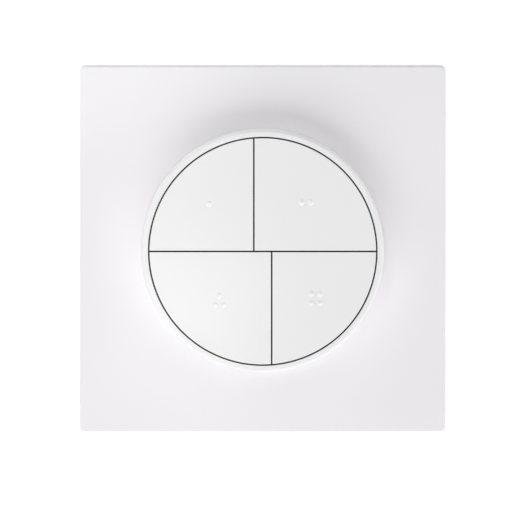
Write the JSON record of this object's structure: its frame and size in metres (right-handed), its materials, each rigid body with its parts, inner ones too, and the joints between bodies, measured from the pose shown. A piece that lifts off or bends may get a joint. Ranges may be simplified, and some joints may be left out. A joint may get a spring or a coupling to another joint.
{
  "type": "wireless wall scene switch",
  "caption": "Round wireless remote with a split face of press keys and raised dots, held by magnets in a square wall plate with a clip-on frame.",
  "frame": {"origin": "centre of the square back, in the wall's plane", "axes": "+Z out of the front face, +Y up on the wall, +X to the right as seen from the front"},
  "size_m": [0.086, 0.086, 0.0159],
  "materials": {
    "plate_white": "fine matte moulded plastic",
    "bracket_white": "plain moulded plastic",
    "housing_white": "satin moulded plastic",
    "key_white": "satin moulded plastic",
    "deck_black": "matte moulded plastic",
    "foam_tape": "foam tape",
    "zinc_steel": "zinc plated",
    "tinned_steel": "tin plated",
    "cell_steel": "nickel plated",
    "magnet_nickel": "nickel plated",
    "spring_brass": "spring temper",
    "board_green": "solder mask",
    "radio_blue": "solder mask",
    "chip_tan": "ceramic",
    "led_clear": "clear resin"
  },
  "bodies": {
    "wall_plate": {"front_frame": "plate_white", "wall_bracket": "bracket_white", "keeper_ring": "zinc_steel", "adhesive_pads": "foam_tape"},
    "remote": {"bezel": "housing_white", "back_shell": "housing_white", "key_frame": "deck_black", "circuit_board": "board_green", "radio_board": "radio_blue", "radio_shield": "tinned_steel", "status_led": "led_clear", "chip_parts": "chip_tan", "switch_bases": "deck_black", "switch_covers": "tinned_steel", "snap_dome_1": "spring_brass", "snap_dome_2": "spring_brass", "snap_dome_3": "spring_brass", "snap_dome_4": "spring_brass", "cell_holder": "deck_black", "coin_cell": "cell_steel", "contact_positive": "spring_brass", "contact_negative": "spring_brass", "magnets": "magnet_nickel", "case_screws": "zinc_steel"},
    "first_key": {"key_1": "key_white", "plunger_1": "deck_black"},
    "second_key": {"key_2": "key_white", "plunger_2": "deck_black"},
    "third_key": {"key_3": "key_white", "plunger_3": "deck_black"},
    "fourth_key": {"key_4": "key_white", "plunger_4": "deck_black"},
    "door": {"battery_door": "housing_white"}
  },
  "joints": [
    {"name": "remote_pull", "type": "slide", "parent": "wall_plate", "child": "remote", "axis": [0, 0, 1], "range_m": [0, 0.025]},
    {"name": "key_1_press", "type": "slide", "parent": "remote", "child": "first_key", "axis": [0, 0, -1], "range_m": [0, 0.0005], "stiffness_N_per_m": 800, "deforming": ["snap_dome_1"]},
    {"name": "key_2_press", "type": "slide", "parent": "remote", "child": "second_key", "axis": [0, 0, -1], "range_m": [0, 0.0005], "stiffness_N_per_m": 800, "deforming": ["snap_dome_2"]},
    {"name": "key_3_press", "type": "slide", "parent": "remote", "child": "third_key", "axis": [0, 0, -1], "range_m": [0, 0.0005], "stiffness_N_per_m": 800, "deforming": ["snap_dome_3"]},
    {"name": "key_4_press", "type": "slide", "parent": "remote", "child": "fourth_key", "axis": [0, 0, -1], "range_m": [0, 0.0005], "stiffness_N_per_m": 800, "deforming": ["snap_dome_4"]},
    {"name": "battery_door_twist", "type": "hinge", "parent": "remote", "child": "door", "pos_m": [0, 0, 0.0029], "axis": [0, 0, -1], "range_deg": [0, 40]}
  ]
}
